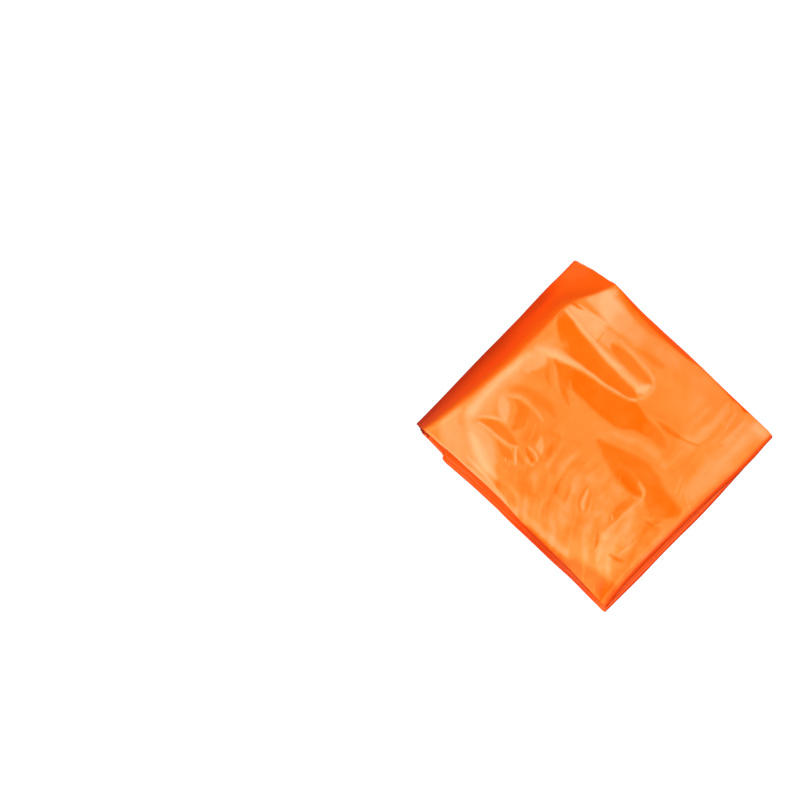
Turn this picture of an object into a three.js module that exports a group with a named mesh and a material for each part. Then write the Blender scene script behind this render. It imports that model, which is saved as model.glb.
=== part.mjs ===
// Emergency sleeping bag of thin orange plastic film, folded into a flat rectangular pack.
// The bag was halved three times across and then along its length, so the pack is one back-and-forth
// section of eight layers. Each layer here stands for a bundle of the real film plies.
// Millimetres, +Z up. X runs along the long side of the pack, Y across it, Z through its layers.

import * as THREE from 'three';

// Driving dimensions

const LAYERS = 8;
const SHEET = 1.5; // thickness of one modelled layer
const FLANK_PITCH = 2.2; // distance between nested layers where the last fold slopes down
const FOOT_RADIUS = 1.6; // centreline radius of the tight turn at the foot of the last fold
const RIDGE_RADIUS = 5.0; // centreline radius where the last fold rolls over into the top
const FREE_END_STEP = 1.4; // how far each free end stops short of the fold below it
const FOOT_TURN_STEPS = 4;
const RIDGE_TURN_STEPS = 3;
const END_TURN_STEPS = 5;

// The order in which the sheet passes through the layers, counted from the bottom.
// It starts at a free end on the right and turns at the left and right sides by turns.
const ROUTE = [2, 5, 6, 1, 0, 7, 4, 3];
const FIRST_HEADING = -1;

// Sections from front to back. across is the share of the way from the front edge to the back edge.
// foot and ridge are where the sloping last fold starts and ends, right edges are those of the
// upper four and the lower four layers, and the heights are those of the whole pack.
const SECTIONS = [
  { across: 0.0, foot: -67.8, ridge: -58.6, rightTop: 63.2, rightLow: 63.4, left: 16.2, middle: 16.8, right: 13.6 },
  { across: 0.05, foot: -68.0, ridge: -57.4, rightTop: 62.7, rightLow: 63.5, left: 17.6, middle: 18.3, right: 14.8 },
  { across: 0.12, foot: -68.2, ridge: -55.8, rightTop: 62.1, rightLow: 63.6, left: 18.8, middle: 19.2, right: 16.2 },
  { across: 0.25, foot: -68.8, ridge: -53.0, rightTop: 61.6, rightLow: 63.8, left: 19.6, middle: 19.7, right: 17.2 },
  { across: 0.45, foot: -69.6, ridge: -52.2, rightTop: 62.0, rightLow: 63.7, left: 19.8, middle: 19.9, right: 17.6 },
  { across: 0.65, foot: -70.0, ridge: -52.6, rightTop: 62.5, rightLow: 63.5, left: 19.8, middle: 19.8, right: 17.6 },
  { across: 0.79, foot: -70.6, ridge: -53.4, rightTop: 63.5, rightLow: 63.0, left: 19.4, middle: 19.4, right: 17.3 },
  { across: 0.9, foot: -71.7, ridge: -50.6, rightTop: 63.4, rightLow: 62.5, left: 18.2, middle: 18.2, right: 16.4 },
  { across: 1.0, foot: -73.8, ridge: -45.0, rightTop: 63.0, rightLow: 61.4, left: 15.6, middle: 14.6, right: 14.4 },
];

// Front and back edges of the lower four and the upper four layers, along the pack.
// The lower layers stand out past a notch near the left end of the front.
const EDGES = [
  { along: -68.0, frontLow: -58.8, frontTop: -58.8, backLow: 54.8, backTop: 54.8 },
  { along: -58.0, frontLow: -59.3, frontTop: -59.3, backLow: 55.8, backTop: 56.8 },
  { along: -46.8, frontLow: -59.8, frontTop: -58.6, backLow: 55.7, backTop: 57.5 },
  { along: -46.0, frontLow: -62.0, frontTop: -58.5, backLow: 55.7, backTop: 57.5 },
  { along: -27.0, frontLow: -61.0, frontTop: -57.7, backLow: 55.2, backTop: 56.8 },
  { along: -9.0, frontLow: -60.5, frontTop: -57.7, backLow: 55.0, backTop: 56.8 },
  { along: 5.0, frontLow: -60.5, frontTop: -58.7, backLow: 54.9, backTop: 57.0 },
  { along: 34.0, frontLow: -60.3, frontTop: -58.6, backLow: 53.9, backTop: 56.7 },
  { along: 55.0, frontLow: -60.7, frontTop: -59.5, backLow: 53.0, backTop: 56.7 },
  { along: 66.0, frontLow: -60.8, frontTop: -60.2, backLow: 52.2, backTop: 56.6 },
];

// How far each layer stops short of its group's front and back edge.
const LAYER_INSETS = [
  { layer: 0, front: 0.8, back: 0.9 },
  { layer: 1, front: 0.0, back: 0.2 },
  { layer: 2, front: 0.3, back: 0.0 },
  { layer: 3, front: 1.9, back: 0.9 },
  { layer: 4, front: 1.5, back: 1.4 },
  { layer: 5, front: 0.6, back: 0.4 },
  { layer: 6, front: 1.1, back: 0.9 },
  { layer: 7, front: 0.0, back: 0.0 },
];

// Main folds pressed into the top layer: soft ridges, or troughs where rise is below zero.
const TOP_FOLDS = [
  { fromX: -52, fromY: 32, toX: -26, toY: 30, rise: 0.9, reach: 6.0 },
  { fromX: -26, fromY: 30, toX: 4, toY: 28, rise: 1.0, reach: 6.0 },
  { fromX: -44, fromY: 10, toX: -20, toY: 17, rise: 0.8, reach: 6.0 },
  { fromX: -20, fromY: 17, toX: 8, toY: 24, rise: 0.8, reach: 6.0 },
  { fromX: -40, fromY: 24, toX: 0, toY: 24, rise: -0.5, reach: 6.0 },
  { fromX: -34, fromY: 4, toX: 22, toY: 14, rise: -0.5, reach: 8.0 },
  { fromX: 12, fromY: -7, toX: 47, toY: 5, rise: -0.5, reach: 7.0 },
  { fromX: 41, fromY: -8, toX: 42, toY: -42, rise: 0.7, reach: 6.5 },
  { fromX: 36, fromY: 50, toX: 41, toY: 12, rise: 0.4, reach: 6.5 },
];

// Where the layers are sampled along the pack: the top one closely, the covered ones at fewer places.
const TOP_ALONG = [-42, -36, -30, -24, -18, -12, -6, 0, 6, 12, 18, 24, 30, 36, 42, 49];
const COVERED_ALONG = [-46.8, -46.0, -27, -9, 5, 34];

// Where the sections are cut, as shares of the way from the front to the back.
const CUTS = [0, 0.03, 0.08, 0.14, 0.2, 0.26, 0.32, 0.38, 0.44, 0.5, 0.56, 0.62, 0.68, 0.74, 0.8, 0.87, 0.94, 1];

// Reading the tables

const interpolantOver = (Interpolant, rows, key, columns) => new Interpolant(
  rows.map((row) => row[key]),
  rows.flatMap((row) => columns.map((column) => row[column])),
  columns.length,
);

const SECTION_COLUMNS = ['foot', 'ridge', 'rightTop', 'rightLow', 'left', 'middle', 'right'];
const sectionReader = interpolantOver(THREE.CubicInterpolant, SECTIONS, 'across', SECTION_COLUMNS);

function sectionAt(across) {
  const values = sectionReader.evaluate(across);
  return Object.fromEntries(SECTION_COLUMNS.map((column, i) => [column, values[i]]));
}

const EDGE_COLUMNS = ['frontLow', 'frontTop', 'backLow', 'backTop'];
const edgeReader = interpolantOver(THREE.LinearInterpolant, EDGES, 'along', EDGE_COLUMNS);

function edgesAt(along) {
  const values = edgeReader.evaluate(along);
  return Object.fromEntries(EDGE_COLUMNS.map((column, i) => [column, values[i]]));
}

// Heights

const { lerp, smoothstep } = THREE.MathUtils;
const RISE_FROM_LEFT = 25; // length over which the pack reaches its middle height
const FALL_TO_RIGHT = 34; // length over which it falls again to its right height

function packHeight(section, x) {
  const rise = smoothstep(x, section.ridge, section.ridge + RISE_FROM_LEFT);
  const fall = smoothstep(x, section.rightTop - FALL_TO_RIGHT, section.rightTop);
  return lerp(lerp(section.left, section.middle, rise), section.right, fall);
}

function layerHeight(section, layer, x) {
  const pitch = (packHeight(section, x) - SHEET) / (LAYERS - 1);
  return SHEET / 2 + layer * pitch;
}

function distanceToSegment(x, y, fold) {
  const along = new THREE.Vector2(fold.toX - fold.fromX, fold.toY - fold.fromY);
  const here = new THREE.Vector2(x - fold.fromX, y - fold.fromY);
  const share = THREE.MathUtils.clamp(here.dot(along) / along.lengthSq(), 0, 1);
  return here.addScaledVector(along, -share).length();
}

function topRelief(x, y) {
  return TOP_FOLDS.reduce((sum, fold) => {
    const nearness = 1 - smoothstep(distanceToSegment(x, y, fold), 0, fold.reach);
    return sum + fold.rise * nearness;
  }, 0);
}

// Places on the sheet's centreline. Each has its place in the section, the direction of the
// sheet's left side, the layer group it belongs to (0 lower, 1 upper) and its edge insets.

function insetsBetween(lowLayer, highLayer, share) {
  const low = LAYER_INSETS[lowLayer];
  const high = LAYER_INSETS[highLayer];
  return { front: lerp(low.front, high.front, share), back: lerp(low.back, high.back, share) };
}

const groupOf = (layer) => (layer < LAYERS / 2 ? 0 : 1);

// A round turn about centre, from one direction to another, both measured as angles in the section.
function turn(centre, radius, startAngle, sweep, steps) {
  return Array.from({ length: steps + 1 }, (_, i) => {
    const angle = startAngle + (sweep * i) / steps;
    const out = new THREE.Vector2(Math.cos(angle), Math.sin(angle));
    return { x: centre.x + radius * out.x, z: centre.y + radius * out.y, out };
  });
}

// The last fold, from a lower layer round the foot and up the slope to the layer that covers it.
// Its nested copies run parallel, one pitch inside each other.
function leftFold(section, low) {
  const high = LAYERS - 1 - low;
  const pitch = (section.left - SHEET) / (LAYERS - 1);
  const slope = Math.atan2(section.left - SHEET, section.ridge - section.foot);
  const lineX = (z) => section.foot + z / Math.tan(slope) + (low * FLANK_PITCH) / Math.sin(slope);
  const foot = new THREE.Vector2(lineX(low * pitch), SHEET / 2 + low * pitch);
  const ridge = new THREE.Vector2(lineX(high * pitch), SHEET / 2 + high * pitch);
  const footTangent = 1 / Math.tan(slope / 2);
  const ridgeTangent = Math.tan(slope / 2);
  const largest = (0.96 * foot.distanceTo(ridge)) / (footTangent + ridgeTangent);
  const footRadius = Math.min(FOOT_RADIUS, largest);
  const room = 0.96 * foot.distanceTo(ridge) - footRadius * footTangent;
  const ridgeRadius = Math.min(RIDGE_RADIUS, room / ridgeTangent);
  const footCentre = new THREE.Vector2(foot.x + footRadius * footTangent, foot.y + footRadius);
  const ridgeCentre = new THREE.Vector2(ridge.x + ridgeRadius * ridgeTangent, ridge.y - ridgeRadius);
  const footTurn = turn(footCentre, footRadius, -Math.PI / 2, slope - Math.PI, FOOT_TURN_STEPS);
  const ridgeTurn = turn(ridgeCentre, ridgeRadius, Math.PI / 2 + slope, -slope, RIDGE_TURN_STEPS);
  const places = [...footTurn, ...ridgeTurn];
  return places.map((place) => {
    const share = (place.z - foot.y) / (ridge.y - foot.y);
    return { ...place, group: share, insets: insetsBetween(low, high, share) };
  });
}

// A half turn at the right side, from a lower layer up to a higher one.
function rightFold(section, low, high) {
  const group = groupOf(low);
  const edge = group ? section.rightTop : section.rightLow;
  const outerLow = group ? LAYERS / 2 : 0;
  const outerHigh = group ? LAYERS - 1 : 1;
  const outerRadius = ((outerHigh - outerLow) * (section.right - SHEET)) / (LAYERS - 1) / 2;
  const centreX = edge - SHEET / 2 - outerRadius;
  const lowZ = layerHeight(section, low, section.rightTop);
  const highZ = layerHeight(section, high, section.rightTop);
  const centre = new THREE.Vector2(centreX, (lowZ + highZ) / 2);
  const places = turn(centre, (highZ - lowZ) / 2, -Math.PI / 2, Math.PI, END_TURN_STEPS);
  return places.map((place, i) => {
    const share = i / END_TURN_STEPS;
    return { ...place, group, insets: insetsBetween(low, high, share) };
  });
}

// Left and right ends of each layer's straight run.
function runEnds(section, layer) {
  const fold = leftFold(section, Math.min(layer, LAYERS - 1 - layer));
  const left = groupOf(layer) ? fold.at(-1).x : fold[0].x;
  const freeEnds = { 2: section.rightLow - FREE_END_STEP, 3: section.rightLow - 2 * FREE_END_STEP };
  if (layer in freeEnds) return { left, right: freeEnds[layer] };
  const pairs = { 0: [0, 1], 1: [0, 1], 4: [4, 7], 7: [4, 7], 5: [5, 6], 6: [5, 6] };
  return { left, right: rightFold(section, ...pairs[layer])[0].x };
}

const frontSection = sectionAt(0);

// A layer's straight run, left to right, sampled at the same shares of its length in every section.
function straightRun(section, layer, withEnds) {
  const along = layer === LAYERS - 1 ? TOP_ALONG : COVERED_ALONG;
  const front = runEnds(frontSection, layer);
  const here = runEnds(section, layer);
  const shares = along.map((x) => (x - front.left) / (front.right - front.left));
  if (withEnds) shares.push(1);
  return shares.map((share) => ({
    x: lerp(here.left, here.right, share),
    z: layerHeight(section, layer, lerp(here.left, here.right, share)),
    out: new THREE.Vector2(0, 1),
    group: groupOf(layer),
    insets: insetsBetween(layer, layer, 0),
    relief: layer === LAYERS - 1,
  }));
}

// The whole centreline of one section. Each place's side points to the left of the way along it.
function centreline(section) {
  const line = [];
  const add = (places, flip) => {
    const ordered = flip ? [...places].reverse() : places;
    ordered.forEach((place) => line.push(place));
  };
  const sided = (places, sign) => places.map((place) => ({
    ...place,
    side: place.out.clone().multiplyScalar(sign),
  }));
  let heading = FIRST_HEADING;
  ROUTE.forEach((layer, i) => {
    const isEnd = i === 0 || i === ROUTE.length - 1;
    add(sided(straightRun(section, layer, isEnd), heading), heading < 0);
    const next = ROUTE[i + 1];
    if (next === undefined) return;
    const rising = next > layer;
    const low = Math.min(layer, next);
    const fold = heading < 0 ? leftFold(section, low) : rightFold(section, low, Math.max(layer, next));
    const leftOfWay = (heading < 0) === rising ? 1 : -1;
    add(sided(fold, leftOfWay), !rising);
    heading = -heading;
  });
  return line;
}

// One closed ring of points round the sheet's section, moved to its place between front and back.
function ring(across) {
  const section = sectionAt(across);
  const line = centreline(section);
  const point = (place, sign) => {
    const edges = edgesAt(THREE.MathUtils.clamp(place.x, EDGES[0].along, EDGES.at(-1).along));
    const front = lerp(edges.frontLow, edges.frontTop, place.group) + place.insets.front;
    const back = lerp(edges.backLow, edges.backTop, place.group) - place.insets.back;
    const y = lerp(front, back, across);
    const lift = place.relief ? topRelief(place.x, y) * smoothstep(Math.min(across, 1 - across), 0, 0.1) : 0;
    const reach = (sign * SHEET) / 2;
    return new THREE.Vector3(place.x + reach * place.side.x, y, place.z + reach * place.side.y + lift);
  };
  const leftSide = line.map((place) => point(place, 1));
  const rightSide = line.map((place) => point(place, -1)).reverse();
  return [...leftSide, ...rightSide];
}

// The solid between the rings. Its front and back are closed straight across the sheet's thickness,
// from each point of the ring's first half to the one that faces it in the second half.
function loft(rings) {
  const count = rings[0].length;
  const positions = rings.flat().flatMap((point) => point.toArray());
  const faces = [];
  const quad = (a, b, c, d) => faces.push(a, b, c, a, c, d);
  for (let cut = 0; cut < rings.length - 1; cut += 1) {
    for (let i = 0; i < count; i += 1) {
      const next = (i + 1) % count;
      const base = cut * count;
      quad(base + i, base + next, base + count + next, base + count + i);
    }
  }
  const back = (rings.length - 1) * count;
  for (let i = 0; i < count / 2 - 1; i += 1) {
    const facing = count - 1 - i;
    quad(i, facing, facing - 1, i + 1);
    quad(back + i, back + i + 1, back + facing - 1, back + facing);
  }
  const geometry = new THREE.BufferGeometry();
  geometry.setAttribute('position', new THREE.Float32BufferAttribute(positions, 3));
  geometry.setIndex(faces);
  return geometry;
}

// The pack stands on its flat bottom with the origin under its middle.
function centreOnBase(geometry) {
  geometry.computeBoundingBox();
  const { min, max } = geometry.boundingBox;
  geometry.translate(-(min.x + max.x) / 2, -(min.y + max.y) / 2, -min.z);
  geometry.computeVertexNormals();
  return geometry;
}

function foldedBag() {
  const film = new THREE.MeshStandardMaterial({ color: 0xff7a1f, roughness: 0.28, metalness: 0 });
  const mesh = new THREE.Mesh(centreOnBase(loft(CUTS.map(ring))), film);
  mesh.name = 'folded_bag';
  return mesh;
}

const pack = new THREE.Group();
pack.add(foldedBag());

export default pack;
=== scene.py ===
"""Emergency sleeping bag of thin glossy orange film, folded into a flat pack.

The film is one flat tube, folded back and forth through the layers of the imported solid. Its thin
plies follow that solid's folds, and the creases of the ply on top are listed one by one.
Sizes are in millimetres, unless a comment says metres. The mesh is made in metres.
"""

import math

import bpy
import numpy as np
from mathutils import Matrix, Vector


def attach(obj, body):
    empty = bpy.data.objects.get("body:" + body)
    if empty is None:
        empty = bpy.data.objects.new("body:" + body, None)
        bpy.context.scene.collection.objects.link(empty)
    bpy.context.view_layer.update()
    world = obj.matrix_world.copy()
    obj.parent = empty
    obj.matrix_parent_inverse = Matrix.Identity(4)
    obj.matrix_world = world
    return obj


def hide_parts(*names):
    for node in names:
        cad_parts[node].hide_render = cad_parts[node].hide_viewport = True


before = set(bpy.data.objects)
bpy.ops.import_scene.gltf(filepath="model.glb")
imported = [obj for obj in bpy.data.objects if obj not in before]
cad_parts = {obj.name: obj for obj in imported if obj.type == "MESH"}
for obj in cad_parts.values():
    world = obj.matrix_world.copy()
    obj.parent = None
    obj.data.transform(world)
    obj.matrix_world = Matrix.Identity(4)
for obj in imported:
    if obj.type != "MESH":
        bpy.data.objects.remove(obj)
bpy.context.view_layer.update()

MM = 0.001

# The film: one flat tube of two plies, 2.13 m long, folded in sixteen

LAYERS = 8
PLIES = 4  # film surfaces in each layer of the solid
FILMS = LAYERS * PLIES
TOP_FILM = FILMS - 1
ROUTE = [2, 5, 6, 1, 0, 7, 4, 3]
TOP_LAYER = 7
FIRST_HEADING = -1
SHEET = 1.5  # thickness of one layer of the solid
FLANK_PITCH = 0.55  # distance between the nested films where the last fold slopes down
FOOT_RADIUS = 2.2
FOOT_TIGHTER = 0.7  # share by which the innermost film's turn at the foot is tighter
RIDGE_ROLL = 0.7  # what the ridge's radius adds to the sections' roll
LEAST_RADIUS = 0.03
MOST_TURNING = 0.96  # most of the slope's length that its two turns take up
FREE_LAYERS = (2, 3)  # where the tube's middle and its two ends lie, short of the right edge
FREE_END_STEP = 1.4
LOWER_TURN_LAYERS = 2  # layers in the widest turn of the lower layers at the right

# What moves the places in the tables below to the part's own frame
TABLE_SHIFT = (2.84, 2.28)

# Sections from front to back, as shares of the way across: places along the pack where its folds
# lie, heights at its left, middle and right, and the roundness of its ridge
SECTION_COLUMNS = ("across", "foot", "ridge", "right_top", "right_low", "left", "middle", "right",
                   "roll")
SECTIONS = [
    (0.0, -67.8, -60.0, 63.2, 63.4, 16.2, 16.8, 13.6, 2.6),
    (0.05, -68.0, -58.2, 62.7, 63.5, 17.6, 18.3, 14.8, 3.2),
    (0.12, -68.2, -57.0, 62.1, 63.6, 18.8, 19.2, 16.2, 4.6),
    (0.25, -68.8, -54.6, 61.6, 63.8, 19.6, 19.7, 17.2, 6.0),
    (0.45, -69.6, -52.9, 62.0, 63.7, 19.8, 19.9, 17.6, 6.5),
    (0.65, -70.0, -52.6, 62.5, 63.5, 19.8, 19.8, 17.6, 5.0),
    (0.79, -70.6, -53.2, 63.5, 63.0, 19.4, 19.4, 17.3, 2.6),
    (0.85, -71.2, -51.0, 63.5, 62.7, 18.8, 18.8, 16.9, 2.0),
    (0.9, -71.7, -48.0, 63.4, 62.5, 18.2, 18.2, 16.4, 1.5),
    (0.95, -72.7, -45.6, 63.2, 62.0, 16.9, 16.4, 15.4, 1.2),
    (1.0, -73.8, -44.2, 63.0, 61.4, 15.6, 14.6, 14.4, 1.0),
]

# Front and back edges of the lower and the upper four layers, along the pack
EDGE_COLUMNS = ("along", "front_low", "front_top", "back_low", "back_top")
EDGES = [
    (-68.0, -58.8, -58.8, 54.8, 54.8),
    (-58.0, -59.3, -59.3, 55.8, 56.8),
    (-46.8, -59.8, -58.6, 55.7, 57.5),
    (-46.0, -62.0, -58.5, 55.7, 57.5),
    (-27.0, -61.0, -57.7, 55.2, 56.8),
    (-9.0, -60.5, -57.7, 55.0, 56.8),
    (5.0, -60.5, -58.7, 54.9, 57.0),
    (34.0, -60.3, -58.6, 53.9, 56.7),
    (55.0, -60.7, -59.5, 53.0, 56.7),
    (66.0, -60.8, -60.2, 52.2, 56.6),
]

# How far each layer stops short of its group's front and back edge, from the bottom layer up
LAYER_INSETS = [(0.8, 0.9), (0.0, 0.2), (0.3, 0.0), (1.9, 0.9), (1.5, 1.4), (0.6, 0.4), (1.1, 0.9),
                (0.0, 0.0)]

RISE_FROM_LEFT = 25.0  # length over which the height turns from the left's to the middle's
FALL_TO_RIGHT = 30.0  # and from the middle's to the right's
RIGHT_TURN = 4.5  # radius of the upper layers' turn at the right

SECTION_SMOOTHING = 0.02
EDGE_SMOOTHING = 0.35
TABLE_STEPS = 1201

# The film's unevenness

TUBE_RAGGED = 0.4  # most that a length of the tube stops short of its neighbours, or stands out
INNER_WAVE = 0.12
EDGE_WAVE = 0.45
EDGE_WAVE_REACH = 9.0
WAVES_FROM_ENDS = (3.0, 12.0)  # how far from a run's ends its waves start and are full
WAVES_FULL_FROM = 6.0  # film from which on the waves are full
# Fields of noise: amount, lengths in two directions, change from film to film, and seed
WAVES = [(1.0, 17.0, 17.0, 0.13, 11), (0.4, 6.0, 8.0, 0.3, 12)]
SLOPE_WAVES = [(0.3, 13.0, 5.0, 0.1, 13)]
RAGGED_EDGE = 0.3
RAGGED_LENGTH = 14.0
RAGGED_CHANGE = 0.3  # from film to film
PAIR_CLOSENESS = 0.07  # how much nearer the two plies of the tube lie than their neighbours
FOLLOW_LOSS = 0.14  # how much less of a crease each film under the top one follows
# Where the creases' relief starts and ends: along the pack and, as a share, from its edges
RELIEF_FROM = (-57.0, -53.0)
RELIEF_TO = (56.5, 61.5)
RELIEF_FROM_EDGE = (0.0, 0.06)
# Shares of the slope's height where the film's painted shade starts and ends to turn from dark to bright
# red, and from there to orange: at the front half, the back half and the facet in the back corner
RED_SHARES = [(0.15, 0.2, 0.0), (0.7, 0.65, 0.35), (0.68, 0.66, 0.97), (0.97, 0.98, 1.05)]
RED_LOSSES = (0.0, 0.22, 0.62)  # how much less red each of these three is in all
BACK_HALF = (0.46, 0.66)  # shares of the way across where the back half and the facet set in
FACET = (0.76, 0.93)
RIGHT_RED_SHARES = (0.45, 0.62, 0.68, 0.92)  # the same shares for the turns at the right side
# Painted shade on the last fold's slope, where it turns away from the light
SLOPE_TONE = 0.3
SLOPE_TONE_REACH = 1.7  # how far from the ridge the slope's painted shade turns into the top's tone
LOWER_TONES = (0.42, 1.0)  # painted shade and sheen tone of the films under the top one, between the folds and in them
LOWER_RED = 0.32  # redness of the same films, partly the red of stacked plies and partly painted shade, deeper between two places along the pack
REDDER_SHADE = 0.42
REDDER_FROM = (-5.0, 14.0)
REDDER_TO = (48.0, 60.0)
# The film's edges, with a painted highlight along them: tone of those in the pack, redness of those at
# its top, and the share of the height where the one kind turns into the other
LIP_HIGHLIGHT = 1.0
TOP_LIP_RED = 0.05
TOP_LIPS_FROM = (0.6, 0.95)

# How closely the film is sampled

FINE_STEP = 0.65
FINE_STEPS = {"foot": 8, "flank": 28, "ridge": 14, "right": 12}
PLAIN_STEPS = {"foot": 4, "flank": 1, "ridge": 4, "right": 6}
PLAIN_SHARES = [0.0, 0.03, 0.06, 0.1, 0.14, 0.18, 0.22, 0.27, 0.32, 0.37, 0.42, 0.47, 0.52, 0.57, 0.62,
                0.67, 0.72, 0.77, 0.82, 0.86, 0.9, 0.94, 0.97, 1.0]
NOTCH_X = (-46.8, -46.0)
PLAIN_ACROSS = [0.0, 0.012, 0.03, 0.055, 0.085, 0.12, 0.17, 0.23, 0.3, 0.38, 0.46, 0.54, 0.62, 0.7, 0.77,
                0.83, 0.88, 0.915, 0.945, 0.97, 0.988, 1.0]
FINE_SHARES = np.linspace(0, 1, 178)


def smoothstep(value, low, high):
    share = np.clip((value - low) / (high - low), 0, 1)
    return share * share * (3 - 2 * share)


def blend(low, high, share):
    return low + (high - low) * share


def soft_noise(x, y, z=0.0, seed=1):
    """A smooth random field between about -1 and 1, with one bump for each unit of length."""
    size = 64
    grid = np.random.default_rng(seed).uniform(-1, 1, (size, size, size // 2))
    x, y, z = np.broadcast_arrays(x, y, z)
    cells = [np.floor(v).astype(int) for v in (x, y, z)]
    shares = [v - c for v, c in zip((x, y, z), cells)]
    eased = [s * s * s * (s * (6 * s - 15) + 10) for s in shares]
    total = 0
    for corner in range(8):
        bits = (corner & 1, corner >> 1 & 1, corner >> 2 & 1)
        weight = 1
        for bit, share in zip(bits, eased):
            weight = weight * (share if bit else 1 - share)
        i, j, k = ((c + b) % n for c, b, n in zip(cells, bits, grid.shape))
        total = total + weight * grid[i, j, k]
    return total


def layered_noise(x, y, layers, film=0.0):
    """The sum of several smooth random fields, each as its row in a table says."""
    return sum(amount * soft_noise(x / length_x, y / length_y, film * change, seed)
               for amount, length_x, length_y, change, seed in layers)


def smooth_curve(points, spacing=1.0):
    """A curve through given rows of numbers, with points about that far apart."""
    rows = np.array(points, float)
    padded = np.vstack([2 * rows[0] - rows[1], rows, 2 * rows[-1] - rows[-2]])
    curve = []
    for i in range(len(rows) - 1):
        p0, p1, p2, p3 = padded[i:i + 4]
        steps = max(2, round(np.hypot(*(p2 - p1)[:2]) / spacing))
        t = np.linspace(0, 1, steps, endpoint=False)[:, None]
        curve.append(0.5 * (2 * p1 + (p2 - p0) * t + (2 * p0 - 5 * p1 + 4 * p2 - p3) * t ** 2
                            + (3 * p1 - p0 - 3 * p2 + p3) * t ** 3))
    return np.vstack([*curve, rows[-1:]])


# Places of painted light on the top ply: tone from 0, deep, a painted shade where it reflects no light,
# to 1, pale, a painted reflection of the light, its cover, the ply's rise, the softness of the edge, and
# a line of places with half-widths

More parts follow.
